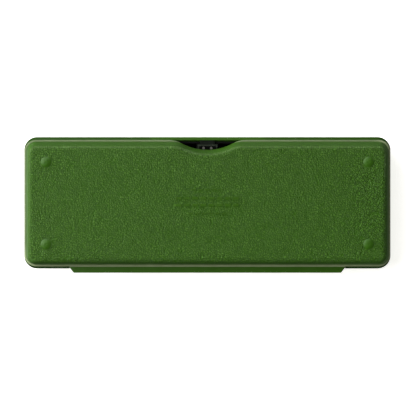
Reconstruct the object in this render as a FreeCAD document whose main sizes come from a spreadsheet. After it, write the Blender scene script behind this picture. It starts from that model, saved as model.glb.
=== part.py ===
"""Pencil case: a green moulded base and lid on a pin hinge, with black liners and a magnetic catch.

Frame: X runs along the case, the thumb notch faces -Y, the hinge is at +Y, and the feet stand on Z = 0.
The origin is at the bottom centre of the closed case. All sizes are in millimetres.
"""

import FreeCAD, Part
import math
import os
import re
import Sketcher

from FreeCAD import Vector

# Driving dimensions, then values that follow from them. A name ending in _front is a reach towards -Y
# from the origin, _back a reach towards +Y, and _half a reach to each side along X.
DIMENSIONS = [
    # Overall size of the closed case
    ("overall_length", "200"),
    ("overall_depth", "74"),
    ("overall_height", "24"),
    ("hinge_reach", "2.2"),
    ("parting_level", "12"),
    ("parting_gap", "0.05"),
    ("wall", "1.6"),
    # Lid rim, the widest outline
    ("lid_half", "=overall_length / 2"),
    ("lid_front", "=overall_depth / 2"),
    ("lid_back", "=overall_depth / 2 - hinge_reach"),
    ("lid_corner", "7"),
    ("lid_level", "=parting_level + parting_gap"),
    ("lid_bead_height", "2.4"),
    ("lid_bead_width", "1.2"),
    ("lid_bead_radius", "0.8"),
    ("lid_wall_half", "=lid_half - lid_bead_width"),
    ("lid_wall_front", "=lid_front - lid_bead_width"),
    ("lid_wall_back", "=lid_back - lid_bead_width"),
    ("lid_wall_corner", "=lid_corner - lid_bead_width"),
    ("lid_wall_level", "=lid_level + lid_bead_height"),
    ("lid_slope", "2.6"),
    ("lid_back_slope", "0.6"),
    ("lid_top_half", "=lid_wall_half - lid_slope"),
    ("lid_top_front", "=lid_wall_front - lid_slope"),
    ("lid_top_back", "=lid_wall_back - lid_back_slope"),
    ("lid_top_corner", "4.5"),
    ("lid_edge_radius", "2.4"),
    ("lid_hollow_half", "=lid_half - 1.5"),
    ("lid_hollow_front", "=lid_front - 1.7"),
    ("lid_hollow_back", "=lid_back - 2.8"),
    ("lid_hollow_corner", "5.5"),
    ("lid_ceiling_level", "=overall_height - wall"),
    ("lid_ceiling_half", "=lid_top_half - 1.2"),
    ("lid_ceiling_front", "=lid_top_front - 1.2"),
    ("lid_ceiling_back", "=lid_top_back - 1.6"),
    ("lid_ceiling_corner", "3.3"),
    ("lid_hollow_lean", "=(lid_hollow_front - lid_ceiling_front) / (lid_ceiling_level - lid_level)"),
    # Base rim bead, just inside the lid rim
    ("rim_half", "=lid_half - 0.3"),
    ("rim_front", "=lid_front - 1.55"),
    ("rim_back", "=lid_back - 1.1"),
    ("rim_corner", "6.5"),
    ("rim_height", "2.3"),
    ("rim_width", "1.1"),
    ("rim_bead_radius", "0.9"),
    ("rim_round", "0.25"),
    ("rim_level", "=parting_level - rim_height"),
    # Thumb notch in the base's front wall
    ("notch_depth", "5.55"),
    ("notch_radius", "28.8"),
    ("notch_shoulder", "14"),
    ("notch_slope", "2.3"),
    ("rim_deep", "=rim_front - notch_depth"),
    # Base wall where it meets the bead
    ("wall_half", "=rim_half - rim_width"),
    ("wall_front", "=rim_front - rim_width"),
    ("wall_back", "=rim_back - rim_width"),
    ("wall_corner", "=rim_corner - rim_width"),
    # Flat underside, before its edge is rounded
    ("foot_height", "0.8"),
    ("face_half", "=wall_half - 2.4"),
    ("face_front", "=wall_front - 2.8"),
    ("face_back", "=wall_back - 1.2"),
    ("face_corner", "4.4"),
    ("face_deep", "=rim_deep - notch_slope"),
    ("face_radius", "=notch_radius + notch_slope"),
    ("face_edge_radius", "3.2"),
    # Hollow of the base: at the top, and at its floor
    ("hollow_half", "=wall_half - 1.2"),
    ("hollow_front", "=wall_front - 1.2"),
    ("hollow_back", "=wall_back - wall"),
    ("hollow_corner", "=wall_corner - 1.2"),
    ("hollow_deep", "=rim_deep - wall"),
    ("floor_level", "=foot_height + wall"),
    ("floor_half", "=face_half - 1.2"),
    ("floor_front", "=face_front - 1.2"),
    ("floor_back", "=face_back - wall"),
    ("floor_corner", "=face_corner - 1.2"),
    ("floor_deep", "=face_deep - 1"),
    ("floor_radius", "=face_radius + 1"),
    ("hollow_radius", "=notch_radius + wall"),
    ("hollow_shoulder", "=notch_shoulder - wall"),
    # Dome feet
    ("foot_radius", "3.15"),
    ("foot_tip_radius", "0.9"),
    ("foot_dome_radius", "6"),
    ("foot_root", "0.3"),
    ("foot_spacing_x", "173"),
    ("foot_spacing_y", "44"),
    ("outline_middle", "=(rim_back - rim_front) / 2"),
    # Rows of raised dashes on the underside
    ("dash_height", "0.25"),
    ("dash_gap", "1.2"),
    ("dash_row_a_y", "-8.1"),
    ("dash_row_a_length", "2.4"),
    ("dash_row_a_width", "0.9"),
    ("dash_row_a_count", "5"),
    ("dash_row_b_y", "-3.5"),
    ("dash_row_b_length", "3.2"),
    ("dash_row_b_width", "1.5"),
    ("dash_row_b_count", "8"),
    ("dash_row_c_y", "0.2"),
    ("dash_row_c_length", "3.2"),
    ("dash_row_c_width", "1.5"),
    ("dash_row_c_count", "8"),
    ("dash_row_d_y", "4.7"),
    ("dash_row_d_length", "2.4"),
    ("dash_row_d_width", "0.9"),
    ("dash_row_d_count", "6"),
    # Hinge: cover strip, knuckles and pin
    ("knuckle_radius", "1.2"),
    ("hinge_y", "=overall_depth / 2 - knuckle_radius"),
    ("hinge_level", "=parting_level"),
    ("strip_half", "75.2"),
    ("strip_chamfer_x", "2.4"),
    ("strip_chamfer_y", "3.1"),
    ("strip_level", "9.8"),
    ("strip_thickness", "0.7"),
    ("strip_round", "0.45"),
    ("knuckle_count", "9"),
    ("knuckle_gap", "0.2"),
    ("knuckle_span", "=2 * (strip_half - strip_chamfer_x) - 0.4"),
    ("knuckle_length", "=(knuckle_span - (knuckle_count - 1) * knuckle_gap) / knuckle_count"),
    ("knuckle_pitch", "=knuckle_length + knuckle_gap"),
    ("web_level", "=parting_level - 0.1"),
    ("pin_radius", "0.5"),
    ("bore_radius", "=pin_radius + 0.05"),
    ("bore_end_wall", "1.2"),
    ("pin_length", "=knuckle_span - bore_end_wall - 0.3"),
    # Liners
    ("liner_gap", "0.15"),
    ("liner_wall", "1"),
    ("liner_lip", "1.2"),
    ("tray_level", "=floor_level + liner_gap"),
    ("tray_floor", "=tray_level + liner_wall"),
    ("tray_top", "=parting_level + liner_lip"),
    ("cap_top", "=lid_ceiling_level - liner_gap"),
    ("cap_level", "=tray_top + 0.4"),
    ("cap_share", "=(cap_level - lid_level) / (lid_ceiling_level - lid_level)"),
    ("cap_half", "=lid_hollow_half + cap_share * (lid_ceiling_half - lid_hollow_half)"),
    ("cap_front", "=lid_hollow_front + cap_share * (lid_ceiling_front - lid_hollow_front)"),
    ("cap_back", "=lid_hollow_back + cap_share * (lid_ceiling_back - lid_hollow_back)"),
    ("cap_corner", "=lid_hollow_corner + cap_share * (lid_ceiling_corner - lid_hollow_corner)"),
    # Magnetic catch: the magnets stand in a block on the notch wall, the keeper hangs in the lid
    ("magnet_radius", "0.75"),
    ("magnet_spacing", "4.15"),
    ("magnet_inset", "0.15"),
    ("magnet_y", "=rim_deep + magnet_radius + 0.25"),
    ("holder_half", "4.6"),
    ("holder_front", "=rim_deep + 2.05"),
    ("holder_corner", "0.4"),
    ("carrier_half", "5.85"),
    ("carrier_neck_half", "3.95"),
    ("carrier_head_front", "=holder_front + 1.2"),
    ("carrier_back", "=rim_deep - 0.9"),
    ("carrier_level", "=parting_level + 0.3"),
    ("carrier_thickness", "1.4"),
    ("carrier_plate", "0.9"),
    ("carrier_height", "5.5"),
    ("carrier_gap", "0.05"),
    ("carrier_lean", "=lid_hollow_lean * (carrier_level - lid_level)"),
    ("carrier_wall_front", "=lid_hollow_front - carrier_lean - carrier_gap"),
    ("keeper_half", "5.2"),
    ("keeper_thickness", "0.6"),
    ("keeper_edge", "0.35"),
    ("keeper_gap", "0.03"),
    ("rivet_radius", "0.5"),
    ("rivet_head_radius", "0.9"),
    ("rivet_head_height", "0.4"),
    ("rivet_spacing", "7.6"),
    # Pencil combs
    ("comb_x", "62"),
    ("comb_thickness", "1.8"),
    ("comb_half", "28.4"),
    ("comb_top", "11.2"),
    ("comb_grooves", "6"),
    ("comb_pitch", "9.4"),
    ("comb_groove_radius", "4"),
    ("comb_groove_drop", "0.5"),
]


document = FreeCAD.newDocument("pencil_case")
sheet = document.addObject("Spreadsheet::Sheet", "dims")
for row, (alias, content) in enumerate(DIMENSIONS, start=1):
    sheet.set(f"A{row}", alias)
    sheet.set(f"B{row}", content)
    sheet.setAlias(f"B{row}", alias)
document.recompute()


# Helpers. An expression here is written with the sheet's names alone, such as "wall_half - wall".


def cells(expression):
    """The same expression with each name pointed at its cell in the sheet."""
    return re.sub(r"[a-z][a-z_]*", r"dims.\g<0>", expression)


def value(expression):
    return float(sheet.evalExpression(cells(expression)))


def bind(item, **expressions):
    """Binds properties to expressions, with __ for each dot in a property's path."""
    for path, expression in expressions.items():
        item.setExpression(path.replace("__", "."), cells(expression))


def origin_item(body, role):
    """One of a body's own origin planes or axes."""
    return next(item for item in body.Origin.OriginFeatures if item.Role == role)


def new_body(label):
    body = document.addObject("PartDesign::Body", label)
    body.Label = label
    return body


def new_sketch(body, name, role="XY_Plane", across="0", up="0", level="0"):
    """An empty sketch on an origin plane of the body, moved in that plane and along its normal."""
    sketch = body.newObject("Sketcher::SketchObject", f"{body.Name}_{name}_sketch")
    sketch.AttachmentSupport = (origin_item(body, role), [""])
    sketch.MapMode = "FlatFace"
    offset = {"AttachmentOffset__Base__x": across, "AttachmentOffset__Base__y": up}
    bind(sketch, AttachmentOffset__Base__z=level, **offset)
    return sketch


def fix(sketch, kind, references, expression):
    """Adds one dimension to a sketch and binds it to the sheet."""
    index = sketch.addConstraint(Sketcher.Constraint(kind, *references, value(expression)))
    sketch.setExpression(f"Constraints[{index}]", cells(expression))


def place_point(sketch, edge, end, across, up):
    """Fixes the start (1), end (2) or centre (3) of an edge by its two coordinates."""
    fix(sketch, "DistanceX", (-1, 1, edge, end), across)
    fix(sketch, "DistanceY", (-1, 1, edge, end), up)


def polygon(sketch, points):
    """A closed polygon through points given as pairs of expressions."""
    corners = [Vector(value(across), value(up), 0) for across, up in points]
    count = len(corners)
    for index in range(count):
        sketch.addGeometry(Part.LineSegment(corners[index], corners[(index + 1) % count]), False)
    for index in range(count):
        sketch.addConstraint(Sketcher.Constraint("Coincident", index, 2, (index + 1) % count, 1))
    for index, (across, up) in enumerate(points):
        place_point(sketch, index, 1, across, up)
    return sketch


def rectangle(sketch, left, right, low, high):
    return polygon(sketch, [(left, low), (right, low), (right, high), (left, high)])


def circle(sketch, across, up, radius):
    centre = Vector(value(across), value(up), 0)
    edge = sketch.addGeometry(Part.Circle(centre, Vector(0, 0, 1), value(radius)), False)
    place_point(sketch, edge, 3, across, up)
    fix(sketch, "Radius", (edge,), radius)
    return sketch


def arc(centre, radius, start, end):
    """An arc in a sketch's plane, anticlockwise between two angles in degrees."""
    whole = Part.Circle(Vector(*centre, 0), Vector(0, 0, 1), radius)
    return Part.ArcOfCircle(whole, math.radians(start), math.radians(end))


def line(start, end):
    return Part.LineSegment(Vector(*start, 0), Vector(*end, 0))


def join_tangent(sketch, chain):
    """Joins a closed chain of edges smoothly. Each entry is an edge with its first and last end."""
    for (edge, _, last), (following, first, _) in zip(chain, chain[1:] + chain[:1]):
        sketch.addConstraint(Sketcher.Constraint("Tangent", edge, last, following, first))


def outline(body, name, level, notch=None, inset="0"):
    """A round-cornered outline from the sheet's NAME_half, _front, _back and _corner.

    A notch in its front is given as its deepest reach, the radius of its hollow and the radius of its two
    shoulders. The inset shrinks the whole outline by an even amount.
    """
    half, front, back, corner = (
        f"({name}_{side} - ({inset}))" for side in ("half", "front", "back", "corner")
    )
    sketch = new_sketch(body, name, level=level)
    x, low, high, bend = value(half), -value(front), value(back), value(corner)
    edges = []
    if notch:
        deep, hollow, shoulder = (
            f"({notch[0]} - ({inset}))",
            f"({notch[1]} + ({inset}))",
            f"({notch[2]} - ({inset}))",
        )
        round_in, round_out = value(hollow), value(shoulder)
        reach = round_in + round_out
        drop = -value(deep) - low
        spread = math.sqrt(drop * (2 * reach - drop))
        turn = math.degrees(math.asin(spread / reach))
        edges += [
            line((bend - x, low), (-spread, low)),
            arc((-spread, low + round_out), round_out, 270, 270 + turn),
            arc((0, low + drop - round_in), round_in, 90 - turn, 90 + turn),
            arc((spread, low + round_out), round_out, 270 - turn, 270),
            line((spread, low), (x - bend, low)),
        ]
    else:
        edges.append(line((bend - x, low), (x - bend, low)))
    right_corner = len(edges)
    edges += [
        arc((x - bend, low + bend), bend, 270, 360),
        line((x, low + bend), (x, high - bend)),
        arc((x - bend, high - bend), bend, 0, 90),
        line((x - bend, high), (bend - x, high)),
        arc((bend - x, high - bend), bend, 90, 180),
        line((-x, high - bend), (-x, low + bend)),
        arc((bend - x, low + bend), bend, 180, 270),
    ]
    sketch.addGeometry(edges, False)
    chain = [(edge, 1, 2) for edge in range(len(edges))]
    if notch:
        chain[2] = (2, 2, 1)
    join_tangent(sketch, chain)
    right, top, left = right_corner + 1, right_corner + 3, right_corner + 5
    fronts = (0, 4) if notch else (0,)
    for edge in (*fronts, top):
        sketch.addConstraint(Sketcher.Constraint("Horizontal", edge))
    for edge in (left, right):
        sketch.addConstraint(Sketcher.Constraint("Vertical", edge))
    for edge in (right_corner + 2, right_corner + 4, right_corner + 6):
        sketch.addConstraint(Sketcher.Constraint("Equal", right_corner, edge))
    fix(sketch, "Radius", (right_corner,), corner)
    for edge in fronts:
        fix(sketch, "DistanceY", (-1, 1, edge, 1), f"-{front}")
    fix(sketch, "DistanceY", (-1, 1, top, 1), back)
    fix(sketch, "DistanceX", (-1, 1, right, 1), half)
    fix(sketch, "DistanceX", (-1, 1, left, 1), f"-{half}")
    if notch:
        sketch.addConstraint(Sketcher.Constraint("Equal", 1, 3))
        fix(sketch, "Radius", (1,), shoulder)
        fix(sketch, "Radius", (2,), hollow)
        place_point(sketch, 2, 3, "0", f"-{deep} - {hollow}")
    return sketch


def loft(body, name, *sections, cut=False):
    """Straight walls from the upper outline to the lower one."""
    kind = "PartDesign::SubtractiveLoft" if cut else "PartDesign::AdditiveLoft"
    feature = body.newObject(kind, f"{body.Name}_{name}")
    feature.Profile = sections[0]
    feature.Sections = list(sections[1:])
    feature.Ruled = True
    return feature


def pad(body, name, sketch, length, midplane=False, reverse=False):
    feature = body.newObject("PartDesign::Pad", f"{body.Name}_{name}")
    feature.Profile = sketch
    feature.Midplane = midplane
    feature.Reversed = reverse
    bind(feature, Length=length)
    return feature


def pocket(body, name, sketch, length, midplane=False, reverse=False):
    feature = body.newObject("PartDesign::Pocket", f"{body.Name}_{name}")
    feature.Profile = sketch
    feature.Midplane = midplane
    feature.Reversed = reverse
    bind(feature, Length=length)
    return feature


def repeat(body, name, features, length, count, length_up=None, count_up="2"):
    """Copies features along X, and along Y too where length_up is given."""
    pattern = body.newObject("PartDesign::LinearPattern", f"{body.Name}_{name}")
    pattern.Originals = features
    pattern.Direction = (origin_item(body, "X_Axis"), [""])
    bind(pattern, Length=length, Occurrences=count)
    if length_up:
        pattern.Direction2 = (origin_item(body, "Y_Axis"), [""])
        bind(pattern, Length2=length_up, Occurrences2=count_up)
    body.Tip = pattern
    return pattern


def soften(body, name, radius, chosen):
    """Rounds the edges of the body so far that chosen(edge) picks."""
    document.recompute()
    base = body.Tip
    edges = [f"Edge{index}" for index, edge in enumerate(base.Shape.Edges, start=1) if chosen(edge)]
    feature = body.newObject("PartDesign::Fillet", f"{body.Name}_{name}")
    feature.Base = (base, edges)
    bind(feature, Radius=radius)
    return feature


def at_level(edge, level):
    """Whether an edge lies flat at a level."""
    box = edge.BoundBox
    return abs(box.ZMin - value(level)) < 1e-6 and abs(box.ZMax - value(level)) < 1e-6


# Sub-parts. A notch is its deepest reach, the radius of its hollow and the radius of its shoulders.


RIM_NOTCH = ("rim_deep", "notch_radius", "notch_shoulder")
FACE_NOTCH = ("face_deep", "face_radius", "notch_shoulder")
HOLLOW_NOTCH = ("hollow_deep", "hollow_radius", "hollow_shoulder")
FLOOR_NOTCH = ("floor_deep", "floor_radius", "hollow_shoulder")


def add_feet(body):
    """Four low domes with flat tips, which the case stands on."""
    first_y = "(outline_middle - foot_spacing_y / 2)"
    dome = new_sketch(body, "foot", "XZ_Plane", across="-foot_spacing_x / 2", level=f"-{first_y}")
    tip, rim, top = value("foot_tip_radius"), value("foot_radius"), value("foot_height")
    root = top + value("foot_root")
    bulge = Part.Arc(Vector(tip, 0, 0), Vector(rim * 0.7, top * 0.35, 0), Vector(rim, top, 0))
    edges = [
        line((0, root), (0, 0)),
        line((0, 0), (tip, 0)),
        bulge,
        line((rim, top), (rim, root)),
        line((rim, root), (0, root)),
    ]
    dome.addGeometry(edges, False)
    count = len(edges)
    for edge in range(count):
        dome.addConstraint(Sketcher.Constraint("Coincident", edge, 2, (edge + 1) % count, 1))
    corners = [
        ("0", "0"),
        ("foot_tip_radius", "0"),
        ("foot_radius", "foot_height"),
        ("foot_radius", "foot_height + foot_root"),
        ("0", "foot_height + foot_root"),
    ]
    for edge, (across, up) in enumerate(corners):
        place_point(dome, edge, 2, across, up)
    fix(dome, "Radius", (2,), "foot_dome_radius")
    foot = body.newObject("PartDesign::Revolution", "base_shell_foot")
    foot.Profile = dome
    foot.ReferenceAxis = (dome, ["V_Axis"])
    foot.Angle = 360
    repeat(body, "feet", [foot], "foot_spacing_x", "2", "foot_spacing_y")


def add_dashes(body):
    """Rows of short raised dashes in the middle of the underside."""
    for row in ("dash_row_a", "dash_row_b", "dash_row_c", "dash_row_d"):
        span = f"({row}_count - 1) * ({row}_length + dash_gap)"
        sketch = rectangle(
            new_sketch(body, row, level="foot_height - dash_height"),
            f"-({span} + {row}_length) / 2",
            f"-({span} - {row}_length) / 2",
            f"{row}_y - {row}_width / 2",
            f"{row}_y + {row}_width / 2",
        )
        dash = pad(body, row, sketch, "dash_height + foot_root")
        repeat(body, f"{row}_marks", [dash], span, f"{row}_count")


def add_knuckles(body, start, count, web_low, web_high, web_back):
    """Every other hinge knuckle: a web that stands out from the shell, and a round bar about the pin."""
    web_sketch = new_sketch(body, "web", "YZ_Plane", level=start)
    rectangle(web_sketch, "rim_back - foot_root", web_back, web_low, web_high)
    web = pad(body, "web", web_sketch, "knuckle_length")
    bar_sketch = new_sketch(body, "bar", "YZ_Plane", level=start)
    circle(bar_sketch, "hinge_y", "hinge_level", "knuckle_radius")
    bar = pad(body, "bar", bar_sketch, "knuckle_length")
    repeat(body, "knuckles", [web, bar], f"2 * knuckle_pitch * ({count} - 1)", count)


def add_bore(body, start):
    """The pin's bore through the knuckles, from start towards +X."""
    bore = new_sketch(body, "bore", "YZ_Plane", level=start)
    circle(bore, "hinge_y", "hinge_level", "bore_radius")
    pocket(body, "bore", bore, "knuckle_span", reverse=True)


def add_hinge_strip(body):
    """The unbroken strip below the knuckles, with its two outer corners cut off."""
    front, back = "(rim_back - foot_root)", "(overall_depth / 2)"
    sketch = polygon(
        new_sketch(body, "strip", level="strip_level"),
        [
            ("-strip_half", front),
            ("strip_half", front),
            ("strip_half", f"{back} - strip_chamfer_y"),
            ("strip_half - strip_chamfer_x", back),
            ("strip_chamfer_x - strip_half", back),
            ("-strip_half", f"{back} - strip_chamfer_y"),
        ],
    )
    pad(body, "strip", sketch, "strip_thickness")
    soften(body, "strip_edge", "strip_round", is_strip_edge)


def is_strip_edge(edge):
    """Whether an edge is one of the hinge strip's lower outer edges."""
    return at_level(edge, "strip_level") and edge.BoundBox.YMax > value("rim_back + strip_round")


def make_base_shell():
    """The base: sloped walls, rim bead, thumb notch, moulded feet and the fixed half of the hinge."""
    body = new_body("base_shell")
    rim = outline(body, "rim", "rim_level", RIM_NOTCH)
    wall = outline(body, "wall", "rim_level", RIM_NOTCH)
    face = outline(body, "face", "foot_height", FACE_NOTCH)
    pad(body, "bead", rim, "rim_height")
    soften(body, "bead_edge", "rim_bead_radius", lambda edge: at_level(edge, "rim_level"))
    soften(body, "rim_edge", "rim_round", lambda edge: at_level(edge, "parting_level"))
    pad(body, "bead_root", wall, "rim_bead_radius")
    loft(body, "walls", wall, face)
    soften(body, "face_edge", "face_edge_radius", lambda edge: at_level(edge, "foot_height"))
    hollow = outline(body, "hollow", "parting_level", HOLLOW_NOTCH)
    floor = outline(body, "floor", "floor_level", FLOOR_NOTCH)
    loft(body, "hollow_walls", hollow, floor, cut=True)
    add_feet(body)
    add_dashes(body)
    add_hinge_strip(body)
    start = "-knuckle_span / 2"
    web_back = "hinge_y + knuckle_radius"
    add_knuckles(body, start, "(knuckle_count + 1) / 2", "strip_level", "web_level", web_back)
    add_bore(body, f"{start} + bore_end_wall")
    return body


def make_lid_shell():
    """The lid: a wider rim bead, gently sloped walls, a flat top and the swinging half of the hinge."""
    body = new_body("lid_shell")
    rim = outline(body, "lid", "lid_level")
    wall = outline(body, "lid_wall", "lid_wall_level")
    top = outline(body, "lid_top", "overall_height")
    pad(body, "bead", rim, "lid_bead_height")
    soften(body, "bead_edge", "lid_bead_radius", lambda edge: at_level(edge, "lid_wall_level"))
    soften(body, "rim_edge", "rim_round", lambda edge: at_level(edge, "lid_level"))
    loft(body, "walls", top, wall)
    soften(body, "top_edge", "lid_edge_radius", lambda edge: at_level(edge, "overall_height"))
    back = "lid_back + 1"
    relief = new_sketch(body, "hinge_relief", level="lid_level")
    rectangle(relief, "-strip_half - knuckle_gap", "strip_half + knuckle_gap", "rim_back", back)
    pocket(body, "hinge_relief", relief, "lid_bead_height + lid_edge_radius", reverse=True)
    ceiling = outline(body, "lid_ceiling", "lid_ceiling_level")
    hollow = outline(body, "lid_hollow", "lid_level")
    loft(body, "hollow_walls", ceiling, hollow, cut=True)
    start = "-knuckle_span / 2 + knuckle_pitch"
    web_high = "hinge_level + knuckle_radius"
    add_knuckles(body, start, "(knuckle_count - 1) / 2", "lid_level", web_high, "hinge_y")
    add_bore(body, "-knuckle_span / 2")
    return body


def make_hinge_pin():
    """The steel pin through all the knuckles."""
    body = new_body("hinge_pin")
    start = "-knuckle_span / 2 + bore_end_wall + 0.1"
    section = new_sketch(body, "round", "YZ_Plane", level=start)
    circle(section, "hinge_y", "hinge_level", "pin_radius")
    pad(body, "bar", section, "pin_length")
    soften(body, "ends", "pin_radius / 4", lambda edge: isinstance(edge.Curve, Part.Circle))
    return body


def make_base_liner():
    """The tray in the base. Its lip stands above the parting line and nests in the lid."""
    body = new_body("base_liner")
    inside = "liner_gap + liner_wall"
    loft(
        body,
        "outside",
        outline(body, "hollow", "tray_top", HOLLOW_NOTCH, "liner_gap"),
        outline(body, "floor", "tray_level", FLOOR_NOTCH, "liner_gap"),
    )
    loft(
        body,
        "inside",
        outline(body, "hollow", "tray_top", HOLLOW_NOTCH, inside),
        outline(body, "floor", "tray_floor", FLOOR_NOTCH, inside),
        cut=True,
    )
    return body


def make_lid_liner():
    """The tray in the lid, open downwards, with a gap in its front wall for the keeper's carrier."""
    body = new_body("lid_liner")
    inside = "liner_gap + liner_wall"
    loft(
        body,
        "outside",
        outline(body, "lid_ceiling", "cap_top", inset="liner_gap"),
        outline(body, "cap", "cap_level", inset="liner_gap"),
    )
    loft(
        body,
        "inside",
        outline(body, "lid_ceiling", "cap_top - liner_wall", inset=inside),
        outline(body, "cap", "cap_level", inset=inside),
        cut=True,
    )
    gap = new_sketch(body, "gap", "XZ_Plane", level="lid_ceiling_front - 5")
    half, top = "(carrier_neck_half + liner_gap)", "carrier_level + carrier_height + liner_gap"
    rectangle(gap, f"-{half}", half, "cap_level - 1", top)
    pocket(body, "gap", gap, "10", reverse=True)
    return body


def make_magnet_holder():
    """The block on the outside of the notch wall that holds the two magnets upright."""
    body = new_body("magnet_holder")
    half, front = value("holder_half"), -value("holder_front")
    radius, centre = value("notch_radius"), -value("rim_deep + notch_radius")
    spread = math.degrees(math.asin(half / radius))
    side = centre + radius * math.cos(math.radians(spread))
    block = new_sketch(body, "block", level="rim_level")
    edges = [
        line((-half, front), (half, front)),
        line((half, front), (half, side)),
        arc((0, centre), radius, 90 - spread, 90 + spread),
        line((-half, side), (-half, front)),
    ]
    block.addGeometry(edges, False)
    for edge in range(4):
        block.addConstraint(Sketcher.Constraint("Coincident", edge, 2, (edge + 1) % 4, 1))
    for edge in (1, 3):
        block.addConstraint(Sketcher.Constraint("Vertical", edge))
    place_point(block, 0, 1, "-holder_half", "-holder_front")
    place_point(block, 0, 2, "holder_half", "-holder_front")
    place_point(block, 2, 3, "0", "-rim_deep - notch_radius")
    fix(block, "Radius", (2,), "notch_radius")
    pad(body, "block", block, "rim_height")
    soften(body, "corners", "holder_corner", is_holder_corner)
    seats = new_sketch(body, "seats", level="rim_level")
    for across in ("-magnet_spacing / 2", "magnet_spacing / 2"):
        circle(seats, across, "-magnet_y", "magnet_radius + keeper_gap")
    pocket(body, "seats", seats, "rim_height", reverse=True)
    return body


def is_holder_corner(edge):
    """Whether an edge is one of the magnet holder's two upright front corners."""
    box = edge.BoundBox
    upright = box.ZLength > value("rim_height") - 1e-6
    return upright and abs(box.YMin + value("holder_front")) < 1e-6


def cylinder(name, radius, length, across, up, level):
    """An upright cylinder."""
    item = document.addObject("Part::Cylinder", name)
    bind(item, Radius=radius, Height=length)
    bind(item, Placement__Base__x=across, Placement__Base__y=up, Placement__Base__z=level)
    return item


def group(label, items):
    """One sub-part made of several separate solids."""
    item = document.addObject("Part::Compound", label)
    item.Label = label
    item.Links = items
    return item


def make_catch_magnets():
    """Two small round magnets whose tops are level with the rim and whose lower ends show."""
    rods = []
    for side, across in (("left", "-magnet_spacing / 2"), ("right", "magnet_spacing / 2")):
        length, level = "rim_height - magnet_inset", "rim_level + magnet_inset"
        rods.append(cylinder(f"magnet_{side}", "magnet_radius", length, across, "-magnet_y", level))
    return group("catch_magnets", rods)


def make_keeper_carrier():
    """The T-shaped bracket in the lid: a plate on the front wall, a neck, and a head over the magnets."""
    body = new_body("keeper_carrier")
    neck, half = "carrier_neck_half", "carrier_half"
    neck_front = "-(carrier_wall_front - carrier_plate / 2)"
    tee = polygon(
        new_sketch(body, "tee", level="carrier_level"),
        [
            (f"-{neck}", neck_front),
            (neck, neck_front),
            (neck, "-carrier_head_front"),
            (half, "-carrier_head_front"),
            (half, "-carrier_back"),
            (f"-{half}", "-carrier_back"),
            (f"-{half}", "-carrier_head_front"),
            (f"-{neck}", "-carrier_head_front"),
        ],
    )
    pad(body, "tee", tee, "carrier_thickness")
    lean = "lid_hollow_lean * carrier_height"
    plate = polygon(
        new_sketch(body, "plate", "YZ_Plane"),
        [
            ("-carrier_wall_front", "carrier_level"),
            ("-carrier_wall_front + carrier_plate", "carrier_level"),
            (f"-carrier_wall_front + carrier_plate + {lean}", "carrier_level + carrier_height"),
            (f"-carrier_wall_front + {lean}", "carrier_level + carrier_height"),
        ],
    )
    pad(body, "plate", plate, "2 * carrier_neck_half", midplane=True)
    seat = new_sketch(body, "seat", level="carrier_level")
    edge, width = "(keeper_edge - keeper_gap)", "(keeper_half + keeper_gap)"
    rectangle(seat, f"-{width}", width, f"-carrier_head_front + {edge}", f"-carrier_back - {edge}")
    pocket(body, "seat", seat, "keeper_thickness + keeper_gap", reverse=True)
    add_rivet_holes(body, "carrier_thickness")
    return body


def add_rivet_holes(body, depth):
    holes = new_sketch(body, "rivet_holes", level="carrier_level")
    for across in ("-rivet_spacing / 2", "rivet_spacing / 2"):
        circle(holes, across, "-magnet_y", "rivet_radius + keeper_gap")
    pocket(body, "rivet_holes", holes, depth, reverse=True)


def make_keeper_plate():
    """The steel plate that the magnets pull on."""
    body = new_body("keeper_plate")
    plate = new_sketch(body, "plate", level="carrier_level")
    front, back = "-carrier_head_front + keeper_edge", "-carrier_back - keeper_edge"
    rectangle(plate, "-keeper_half", "keeper_half", front, back)
    pad(body, "plate", plate, "keeper_thickness")
    add_rivet_holes(body, "keeper_thickness")
    return body


def make_keeper_rivets():
    """Two rivets that hold the keeper plate in its carrier, with their heads above it."""
    rivets = []
    for side, across in (("left", "-rivet_spacing / 2"), ("right", "rivet_spacing / 2")):
        place = (across, "-magnet_y")
        top = "carrier_level + carrier_thickness"
        shank = cylinder(f"shank_{side}", "rivet_radius", "carrier_thickness", *place, "carrier_level")
        head = cylinder(f"head_{side}", "rivet_head_radius", "rivet_head_height", *place, top)
        rivet = document.addObject("Part::Fuse", f"rivet_{side}")
        rivet.Base = shank
        rivet.Tool = head
        rivets.append(rivet)
    return group("keeper_rivets", rivets)


def make_pencil_comb(label, start):
    """A grooved support across the tray that keeps the pencils in line."""
    body = new_body(label)
    side = new_sketch(body, "side", "YZ_Plane", level=start)
    rectangle(side, "-comb_half", "comb_half", "tray_floor + carrier_gap", "comb_top")
    pad(body, "bar", side, "comb_thickness")
    grooves = new_sketch(body, "grooves", "YZ_Plane", level=start)
    for index in range(int(value("comb_grooves"))):
        across = f"({index} - (comb_grooves - 1) / 2) * comb_pitch"
        circle(grooves, across, "comb_top - comb_groove_drop", "comb_groove_radius")
    pocket(body, "grooves", grooves, "comb_thickness", reverse=True)
    return body


SUB_PARTS = [
    make_base_shell(),
    make_lid_shell(),
    make_hinge_pin(),
    make_base_liner(),
    make_lid_liner(),
    make_magnet_holder(),
    make_catch_magnets(),
    make_keeper_carrier(),
    make_keeper_plate(),
    make_keeper_rivets(),
    make_pencil_comb("pencil_comb_left", "-comb_x - comb_thickness / 2"),
    make_pencil_comb("pencil_comb_right", "comb_x - comb_thickness / 2"),
]

document.recompute()
for item in document.Objects:
    if {"Invalid", "Error"} & set(item.State):
        raise RuntimeError(f"{item.Label} failed: {item.State}")
for item in SUB_PARTS:
    if item.Shape.isNull() or not item.Shape.isValid() or not item.Shape.Solids:
        raise RuntimeError(f"{item.Label} has no valid shape")

os.makedirs("parts", exist_ok=True)
for item in SUB_PARTS:
    item.Shape.exportStep(f"parts/{item.Label}.step")
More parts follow.
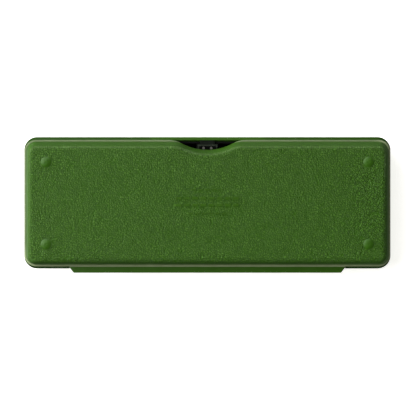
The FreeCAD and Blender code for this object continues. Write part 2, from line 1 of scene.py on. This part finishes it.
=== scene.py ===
"""Looks of the green pencil case, seen from below.

Moulded shells with leather grain, black liners and plated metal, on a pale stage under soft light.
"""

import math

import bpy
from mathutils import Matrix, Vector


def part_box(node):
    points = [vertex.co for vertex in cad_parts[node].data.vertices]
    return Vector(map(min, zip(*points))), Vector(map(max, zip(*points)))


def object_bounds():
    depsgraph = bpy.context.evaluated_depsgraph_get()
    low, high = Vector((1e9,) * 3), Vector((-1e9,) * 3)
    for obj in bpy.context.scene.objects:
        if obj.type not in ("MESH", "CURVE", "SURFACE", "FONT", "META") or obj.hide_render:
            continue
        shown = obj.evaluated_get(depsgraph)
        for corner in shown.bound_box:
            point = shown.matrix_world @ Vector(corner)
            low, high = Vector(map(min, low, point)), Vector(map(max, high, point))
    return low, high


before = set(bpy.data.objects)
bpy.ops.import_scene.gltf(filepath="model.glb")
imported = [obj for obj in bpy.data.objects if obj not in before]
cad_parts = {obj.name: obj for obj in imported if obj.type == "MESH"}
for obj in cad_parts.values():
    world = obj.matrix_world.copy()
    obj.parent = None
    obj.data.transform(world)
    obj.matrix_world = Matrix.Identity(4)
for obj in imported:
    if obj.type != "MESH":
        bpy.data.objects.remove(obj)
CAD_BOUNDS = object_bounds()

LOW, HIGH = CAD_BOUNDS
MM = 0.001

# Sizes of the shells that their looks depend on.
SHELL_FLOOR = 1.6 * MM
LINER_GAP = 0.15 * MM
HINGE_DEPTH = 3.3 * MM

# Reaches to each side of the middle: within the first the underside has dashes and no feet, and the second
# spans the thumb notch with 8 mm to spare at each end.
BETWEEN_FEET = 40 * MM
OVER_NOTCH = 29 * MM

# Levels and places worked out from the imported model: the flat underside, the flat top, the base's rim bead,
# the seam where base and lid meet, and the front of the hinge strip.
FACE_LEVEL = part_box("base_liner")[0].z - SHELL_FLOOR - LINER_GAP
TOP_LEVEL = HIGH.z
BEAD_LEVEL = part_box("magnet_holder")[0].z
SEAM_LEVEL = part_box("magnet_holder")[1].z
HINGE_FRONT = HIGH.y - HINGE_DEPTH


# Node tree helpers


class Tree:
    """A short way to build one material's node tree."""

    def __init__(self, name):
        self.material = bpy.data.materials.new(name)
        self.material.use_nodes = True
        self.nodes = self.material.node_tree.nodes
        self.links = self.material.node_tree.links
        self.nodes.clear()
        self.output = self.nodes.new("ShaderNodeOutputMaterial")
        self.position = self.add("TexCoord").outputs["Object"]

    def add(self, kind, inputs=(), **settings):
        node = self.nodes.new("ShaderNode" + kind)
        for name, setting in settings.items():
            setattr(node, name, setting)
        for name, source in dict(inputs).items():
            self.put(node.inputs[name], source)
        return node

    def put(self, socket, source):
        if isinstance(source, bpy.types.NodeSocket):
            self.links.new(source, socket)
        else:
            socket.default_value = source

    def math(self, operation, *values):
        node = self.add("Math", operation=operation)
        for socket, source in zip(node.inputs, values):
            self.put(socket, source)
        return node.outputs[0]

    def product(self, first, *others):
        """The product of masks or other values."""
        result = first
        for other in others:
            result = self.math("MULTIPLY", result, other)
        return result

    def ramp(self, value, low, high, to_low=0.0, to_high=1.0):
        """A smooth step of value from low to high."""
        node = self.add(
            "MapRange",
            {"Value": value, "From Min": low, "From Max": high, "To Min": to_low, "To Max": to_high},
            interpolation_type="SMOOTHSTEP",
        )
        return node.outputs["Result"]

    def mix(self, factor, first, second):
        node = self.add("Mix", data_type="RGBA")
        self.put(node.inputs[0], factor)
        self.put(node.inputs[6], first)
        self.put(node.inputs[7], second)
        return node.outputs[2]

    def noise(self, scale, detail=3.0, roughness=0.5, vector=None):
        """Fractal noise of so many features per metre."""
        inputs = {"Vector": vector or self.position, "Scale": scale, "Detail": detail, "Roughness": roughness}
        return self.add("TexNoise", inputs).outputs["Fac"]

    def axes(self):
        """The X, Y and Z of the place on the case."""
        return self.add("SeparateXYZ", {"Vector": self.position}).outputs

    def facing_down(self, start, full):
        """0 where the surface's normal has a Z of start, rising to 1 where it has a Z of full."""
        normal = self.add("NewGeometry").outputs["Normal"]
        return self.ramp(self.add("SeparateXYZ", {"Vector": normal}).outputs["Z"], start, full)

    def principled(self, colour, roughness, relief, depth, strength, rounding):
        """Gives the material a principled shader with relief and softly rounded edges, and returns it."""
        rounded = self.add("Bevel", {"Radius": rounding}, samples=4).outputs[0]
        surface = {"Strength": strength, "Distance": depth, "Height": relief, "Normal": rounded}
        bump = self.add("Bump", surface).outputs[0]
        shader = self.add("BsdfPrincipled", {"Base Color": colour, "Roughness": roughness, "Normal": bump})
        self.put(self.output.inputs["Surface"], shader.outputs[0])
        return shader


# Masks. Each is 1 on the part of the case that it names and 0 elsewhere.


def flat_face_mask(tree):
    """The flat underside and the flat top, fading over their rounded edges, without the feet and rims."""
    height = tree.axes()["Z"]
    above_feet = tree.ramp(height, FACE_LEVEL - 0.1 * MM, FACE_LEVEL - 0.02 * MM)
    below_edge = tree.ramp(height, FACE_LEVEL + 1.9 * MM, FACE_LEVEL + 0.1 * MM)
    on_top = tree.ramp(height, TOP_LEVEL - 1.2 * MM, TOP_LEVEL - 0.1 * MM)
    return tree.math("MAXIMUM", tree.product(above_feet, below_edge), on_top)


def dash_mask(tree):
    """The raised dashes in the middle of the underside."""
    place = tree.axes()
    below = tree.ramp(place["Z"], FACE_LEVEL - 0.02 * MM, FACE_LEVEL - 0.08 * MM)
    middle = tree.ramp(tree.math("ABSOLUTE", place["X"]), BETWEEN_FEET + 5 * MM, BETWEEN_FEET)
    return tree.product(below, middle)


def bead_highlight_mask(tree):
    """The underside of the base's rim bead, where a highlight is painted."""
    place = tree.axes()
    above = tree.ramp(place["Z"], BEAD_LEVEL - 0.15 * MM, BEAD_LEVEL)
    below = tree.ramp(place["Z"], BEAD_LEVEL + 0.85 * MM, BEAD_LEVEL + 0.55 * MM)
    ahead = tree.ramp(place["Y"], HINGE_FRONT + 0.1 * MM, HINGE_FRONT)
    return tree.product(above, below, ahead, tree.facing_down(-0.45, -0.70))


def edge_highlight_mask(tree):
    """The underside's rounded edge at the notch side, and half as strongly at the left-hand end, where a
    highlight is painted.
    """
    place = tree.axes()
    above = tree.ramp(place["Z"], FACE_LEVEL + 0.1 * MM, FACE_LEVEL + 0.45 * MM)
    below = tree.ramp(place["Z"], FACE_LEVEL + 1.4 * MM, FACE_LEVEL + 0.7 * MM)
    notch_side = tree.ramp(place["Y"], LOW.y + 27 * MM, LOW.y + 15 * MM)
    left_end = tree.ramp(place["X"], LOW.x + 10 * MM, LOW.x + 6 * MM, 0.0, 0.5)
    return tree.product(above, below, tree.math("MAXIMUM", notch_side, left_end))


def seam_shade_mask(tree):
    """The lid's lower face and edge round the base, without the stretch over the thumb notch, where shade is
    painted.
    """
    place = tree.axes()
    above = tree.ramp(place["Z"], SEAM_LEVEL - 0.04 * MM, SEAM_LEVEL - 0.02 * MM)
    below = tree.ramp(place["Z"], SEAM_LEVEL + 0.7 * MM, SEAM_LEVEL + 0.2 * MM)
    middle = tree.ramp(tree.math("ABSOLUTE", place["X"]), OVER_NOTCH + 4 * MM, OVER_NOTCH)
    over_notch = tree.product(middle, tree.ramp(place["Y"], 0.0, -5 * MM))
    off_notch = tree.math("SUBTRACT", 1.0, over_notch)
    return tree.product(above, below, tree.facing_down(-0.2, -0.6), off_notch)


def far_side_mask(tree):
    """The hinge side and the right-hand end, where the painted bead highlight is lightest and the painted
    seam shade darkest.
    """
    place = tree.axes()
    hinge_side = tree.ramp(place["Y"], HIGH.y - 17 * MM, HIGH.y - 5 * MM)
    right_end = tree.ramp(place["X"], HIGH.x - 10 * MM, HIGH.x - 2 * MM)
    return tree.math("MAXIMUM", hinge_side, right_end)


def edge_mask(tree, radius):
    """Convex and concave edges, to within a radius."""
    bevel = tree.add("Bevel", {"Radius": radius}, samples=4).outputs[0]
    normal = tree.add("NewGeometry").outputs["Normal"]
    agree = tree.add("VectorMath", {0: bevel, 1: normal}, operation="DOT_PRODUCT").outputs["Value"]
    return tree.ramp(agree, 0.995, 0.9)


# Materials


def leather_grain(tree):
    """Leather grain as a height, low in the creases and high on the pebbles, which are 1.1 mm across."""
    bend = tree.add("TexNoise", {"Vector": tree.position, "Scale": 500.0, "Detail": 0.0}).outputs["Color"]
    centred = tree.add("VectorMath", {0: bend, 1: (0.5, 0.5, 0.5)}, operation="SUBTRACT").outputs[0]
    shift = tree.add("VectorMath", {0: centred, "Scale": 0.9 * MM}, operation="SCALE").outputs[0]
    place = tree.add("VectorMath", {0: tree.position, 1: shift}, operation="ADD").outputs[0]
    cells = {"Vector": place, "Scale": 900.0, "Randomness": 0.85}
    creases = tree.add("TexVoronoi", cells, feature="DISTANCE_TO_EDGE").outputs["Distance"]
    pebble = tree.ramp(creases, 0.0, 0.23)
    return tree.math("MULTIPLY_ADD", tree.noise(1100.0, detail=1.0), 0.5, pebble)


def green_colour(tree, grain, flat, mottle):
    """Dark green, with fixed lighter and darker bands that imitate soft light on the rounded rims: painted
    highlights on the rim bead and the rounded edge, and painted shade at the seam and in the grain's creases.
    """
    broad = tree.noise(14.0, detail=2.0)
    far = far_side_mask(tree)

    # Painted shade and sheen: the grain's creases are painted darker and its pebbles lighter and greyer, as
    # light falls on the relief.
    grained = tree.mix(tree.ramp(grain, 0.35, 1.15), (0.038, 0.134, 0.0008, 1), (0.068, 0.188, 0.0130, 1))
    smooth = tree.mix(mottle, (0.032, 0.113, 0.0030, 1), (0.038, 0.122, 0.0055, 1))
    plain = tree.mix(flat, smooth, grained)
    dashed = tree.mix(dash_mask(tree), plain, (0.034, 0.112, 0.0010, 1))

    # Painted shade on the lid's lower face and edge at the seam, darkest towards the hinge side and the
    # right-hand end.
    seam = tree.product(seam_shade_mask(tree), tree.ramp(far, 0.0, 1.0, 0.45, 0.9))
    shaded = tree.mix(seam, dashed, (0.006, 0.034, 0.0005, 1))
    drift = tree.product(tree.ramp(broad, 0.3, 0.7), 0.08)
    drifted = tree.mix(drift, shaded, (0.070, 0.145, 0.018, 1))
    edge = tree.product(edge_mask(tree, 0.25 * MM), tree.ramp(mottle, 0.35, 0.75, 0.0, 0.20))
    edged = tree.mix(edge, drifted, (0.120, 0.210, 0.050, 1))
    # Painted highlight along the underside's rounded edge at the notch side and, at half strength, at the
    # left-hand end.
    edge_highlight = tree.product(edge_highlight_mask(tree), tree.ramp(mottle, 0.2, 0.8, 0.7, 1.0))
    lined = tree.mix(edge_highlight, edged, (0.096, 0.208, 0.042, 1))
    # Painted highlight on the underside of the base's rim bead, lighter towards the hinge side and the
    # right-hand end.
    bead = tree.product(bead_highlight_mask(tree), tree.ramp(mottle, 0.2, 0.8, 0.75, 1.0))
    bead_highlight_colour = tree.mix(far, (0.145, 0.190, 0.092, 1), (0.360, 0.430, 0.240, 1))
    return tree.mix(bead, lined, bead_highlight_colour)


def green_plastic():
    """Dark green moulded plastic, with leather grain on its flat faces and finely matt elsewhere."""
    tree = Tree("green_plastic_grained")
    flat = flat_face_mask(tree)
    grain = leather_grain(tree)
    satin = tree.noise(5200.0, detail=2.0)
    mottle = tree.noise(210.0)
    colour = green_colour(tree, grain, flat, mottle)
    relief = tree.math("MULTIPLY_ADD", satin, 0.05, tree.product(grain, flat))
    roughness = tree.math("ADD", tree.ramp(mottle, 0.2, 0.8, 0.38, 0.46), tree.product(flat, 0.16))
    shader = tree.principled(colour, roughness, relief, depth=0.7 * MM, strength=1.0, rounding=0.12 * MM)
    shader.inputs["Specular IOR Level"].default_value = 0.25
    return tree.material


def black_plastic(name, dark, light, rough, specular, edge_strength):
    """Matt black moulded plastic with a fine spark-eroded texture, a little dust and lighter edges."""
    tree = Tree(name)
    fine = tree.noise(2300.0, detail=4.0, roughness=0.65)
    patches = tree.noise(90.0, detail=4.0)
    plain = tree.mix(tree.ramp(patches, 0.3, 0.75), dark, light)
    dust = tree.product(tree.ramp(fine, 0.62, 0.8), tree.ramp(patches, 0.5, 0.8, 0.0, 0.5))
    dusty = tree.mix(dust, plain, (0.022, 0.022, 0.019, 1))
    amount = tree.ramp(patches, 0.2, 0.7, 0.4 * edge_strength, edge_strength)
    edge = tree.product(edge_mask(tree, 0.3 * MM), amount)
    colour = tree.mix(edge, dusty, (0.020, 0.030, 0.018, 1))
    roughness = tree.ramp(fine, 0.2, 0.8, rough - 0.09, rough + 0.09)
    shader = tree.principled(colour, roughness, fine, depth=0.04 * MM, strength=0.7, rounding=0.15 * MM)
    shader.inputs["Specular IOR Level"].default_value = specular
    return tree.material


def plated_metal(name, dark, light, rough, stretch=(1, 1, 1)):
    """Plated metal with fine drawn or stamped lines and small dull spots."""
    tree = Tree(name)
    along = tree.add("Mapping", {"Vector": tree.position, "Scale": stretch}).outputs[0]
    lines = tree.noise(3000.0, vector=along)
    spots = tree.noise(1400.0, detail=4.0)
    colour = tree.mix(tree.ramp(spots, 0.35, 0.75), light, dark)
    roughness = tree.ramp(spots, 0.3, 0.8, rough, rough + 0.16)
    shader = tree.principled(colour, roughness, lines, depth=0.01 * MM, strength=0.4, rounding=0.08 * MM)
    shader.inputs["Metallic"].default_value = 1.0
    return tree.material


def assign_materials():
    green = green_plastic()
    liner = black_plastic(
        "black_plastic_satin", (0.0030, 0.0033, 0.0030, 1), (0.0060, 0.0066, 0.0055, 1),
        rough=0.57, specular=0.2, edge_strength=0.5,
    )
    # The magnet holder and the lid liner, seen through the thumb notch, get darker copies of the black
    # plastic: painted shade of the pocket.
    holder = black_plastic(
        "black_plastic_deep_shade", (0.0010, 0.0012, 0.0010, 1), (0.0024, 0.0026, 0.0022, 1),
        rough=0.68, specular=0.03, edge_strength=0.1,
    )
    lid_inside_shaded = black_plastic(
        "black_plastic_lid_shade", (0.0022, 0.0025, 0.0020, 1), (0.0042, 0.0046, 0.0040, 1),
        rough=0.6, specular=0.12, edge_strength=0.35,
    )
    bracket = black_plastic(
        "bracket_plastic_matt", (0.0035, 0.0060, 0.0030, 1), (0.0065, 0.0105, 0.0060, 1),
        rough=0.7, specular=0.1, edge_strength=0.9,
    )
    # The magnets' nickel is darkened far below bright plate: painted shade of the pocket they sit in.
    nickel = plated_metal("nickel_plate_shaded", (0.090, 0.088, 0.080, 1), (0.190, 0.185, 0.170, 1), 0.42)
    steel = plated_metal("drawn_steel", (0.38, 0.38, 0.37, 1), (0.60, 0.60, 0.58, 1), 0.28, (0.05, 1, 1))
    keeper = plated_metal(
        "blackened_steel", (0.024, 0.031, 0.022, 1), (0.050, 0.062, 0.045, 1), 0.5, (1, 0.1, 1),
    )
    chosen = {
        "base_shell": green,
        "lid_shell": green,
        "base_liner": liner,
        "lid_liner": lid_inside_shaded,
        "magnet_holder": holder,
        "pencil_comb_left": liner,
        "pencil_comb_right": liner,
        "keeper_carrier": bracket,
        "catch_magnets": nickel,
        "hinge_pin": steel,
        "keeper_plate": keeper,
        "keeper_rivets": keeper,
    }
    for node, material in chosen.items():
        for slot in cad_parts[node].material_slots:
            slot.material = material


# Stage, light and camera


def one_sided(name, brightness):
    """White paper that shows from one side only, so that it never hides the case from the other side."""
    tree = Tree(name)
    paper = tree.add("BsdfDiffuse", {"Color": (0.90, 0.895, 0.885, 1)})
    glow = tree.add("Emission", {"Color": (1.0, 0.99, 0.955, 1), "Strength": brightness})
    lit = tree.add("AddShader", {0: paper.outputs[0], 1: glow.outputs[0]})
    clear = tree.add("BsdfTransparent")
    back = tree.add("NewGeometry").outputs["Backfacing"]
    either = tree.add("MixShader", {0: back, 1: lit.outputs[0], 2: clear.outputs[0]})
    tree.put(tree.output.inputs["Surface"], either.outputs[0])
    return tree.material


def add_paper(name, corners, faces, brightness):
    """A large sheet of stage paper that only the camera sees, so it adds no light or shadow to the case."""
    mesh = bpy.data.meshes.new(name)
    mesh.from_pydata(corners, [], faces)
    paper = bpy.data.objects.new(name, mesh)
    bpy.context.scene.collection.objects.link(paper)
    mesh.materials.append(one_sided(name, brightness))
    for ray in ("diffuse", "glossy", "transmission", "volume_scatter", "shadow"):
        setattr(paper, f"visible_{ray}", False)


def add_room():
    """A floor, four far walls and a paper over the lid, each of which shows from the case's side only."""
    reach, top = 4.0, 5.0
    square = [(-reach, -reach), (reach, -reach), (reach, reach), (-reach, reach)]
    floor = [(x, y, LOW.z) for x, y in square]
    ceiling = [(x, y, top) for x, y in square]
    over_lid = [(x, y, HIGH.z) for x, y in square]
    walls = [(i, i + 4, (i + 1) % 4 + 4, (i + 1) % 4) for i in range(4)]
    add_paper("floor_paper", floor, [(0, 1, 2, 3)], 0.5)
    add_paper("wall_paper", floor + ceiling, walls, 0.85)
    add_paper("backdrop_paper", over_lid, [(3, 2, 1, 0)], 0.78)


def add_world(around, above, below):
    """A white room: bright just above the horizon, most of all at the front left, and dim elsewhere."""
    world = bpy.data.worlds.new("soft_room")
    world.use_nodes = True
    nodes, links = world.node_tree.nodes, world.node_tree.links
    direction = nodes.new("ShaderNodeTexCoord").outputs["Generated"]

    # Brightness by height. A place of 0 on the ramp is straight down, 0.5 the horizon and 1 straight up.
    split = nodes.new("ShaderNodeSeparateXYZ")
    links.new(direction, split.inputs[0])
    stretch = nodes.new("ShaderNodeMapRange")
    stretch.inputs["From Min"].default_value = -1.0
    links.new(split.outputs["Z"], stretch.inputs["Value"])
    ramp = nodes.new("ShaderNodeValToRGB")
    links.new(stretch.outputs["Result"], ramp.inputs["Fac"])
    stops = ramp.color_ramp.elements
    stops[0].position, stops[1].position = 0.44, 0.54
    for place in (0.68, 0.82):
        stops.new(place)
    for stop, level in zip(stops, (below, around, around, above)):
        stop.color = (level, level * 0.995, level * 0.98, 1)
    links.new(ramp.outputs["Color"], nodes["Background"].inputs["Color"])

    # Strength by direction, highest towards the front left.
    front_left = nodes.new("ShaderNodeVectorMath")
    front_left.operation = "DOT_PRODUCT"
    front_left.inputs[1].default_value = (-0.55, -0.835, 0.0)
    links.new(direction, front_left.inputs[0])
    fall = nodes.new("ShaderNodeMapRange")
    fall.inputs["From Min"].default_value = -0.8
    fall.inputs["From Max"].default_value = 0.8
    fall.inputs["To Min"].default_value = 0.4
    fall.inputs["To Max"].default_value = 1.3
    links.new(front_left.outputs["Value"], fall.inputs["Value"])
    links.new(fall.outputs["Result"], nodes["Background"].inputs["Strength"])
    bpy.context.scene.world = world


def add_light(name, place, size, watts, diffuse=True, glossy=True):
    """A square soft box that points at the case."""
    light = bpy.data.lights.new(name, "AREA")
    light.shape = "SQUARE"
    light.size = size
    light.energy = watts
    light.color = (1.0, 0.992, 0.975)
    lamp = bpy.data.objects.new(name, light)
    lamp.location = place
    lamp.rotation_euler = (Vector((0, 0, SEAM_LEVEL)) - Vector(place)).to_track_quat("-Z", "Y").to_euler()
    lamp.visible_diffuse = diffuse
    lamp.visible_glossy = glossy
    bpy.context.scene.collection.objects.link(lamp)


def add_lights():
    """Lamps below light the underside and lamps above light the lid.

    The sheen lamps show in gloss only, and the last four in everything but gloss.
    """
    add_light("key_below", (-0.85, -0.38, -0.62), 1.4, 24.8)
    add_light("front_below", (-0.15, -1.15, -0.55), 0.8, 1.2)
    add_light("front_sheen", (0.0, -1.15, -0.56), 0.45, 6.5, diffuse=False)
    add_light("left_sheen", (-0.50, -0.05, 1.10), 0.6, 1.2, diffuse=False)
    add_light("left_low", (-1.20, -0.10, -0.12), 0.5, 4.0)
    add_light("back_below", (0.30, 1.10, -0.35), 0.4, 1.2, glossy=False)
    add_light("right_below", (1.15, 0.20, -0.35), 0.4, 1.0, glossy=False)
    add_light("key_above", (-0.45, -0.45, 1.20), 0.6, 14.0, glossy=False)
    add_light("fill_above", (0.80, 0.60, 1.30), 0.8, 9.0, glossy=False)


def add_camera():
    """Straight up at the underside, with the notch side at the picture's top.

    The picture is a little wider than the case, and the case sits slightly off its centre.
    """
    lens, sensor = 100.0, 36.0
    picture_per_case = 1.1357
    aim_x, aim_y, rim_level = 0.35 * MM, 1.75 * MM, 12 * MM
    distance = (HIGH.x - LOW.x) * picture_per_case * lens / sensor
    camera = bpy.data.cameras.new("camera")
    camera.lens = lens
    camera.sensor_width = sensor
    camera.clip_start = 0.01
    camera.clip_end = 20.0
    eye = bpy.data.objects.new("camera", camera)
    bpy.context.scene.collection.objects.link(eye)
    eye.location = (aim_x, aim_y, rim_level - distance)
    eye.rotation_euler = (math.pi, 0.0, 0.0)
    bpy.context.scene.camera = eye


assign_materials()
add_room()
add_world(around=0.45, above=0.12, below=0.135)
add_lights()
add_camera()

scene = bpy.context.scene
scene.view_settings.view_transform = "Standard"
scene.view_settings.look = "None"
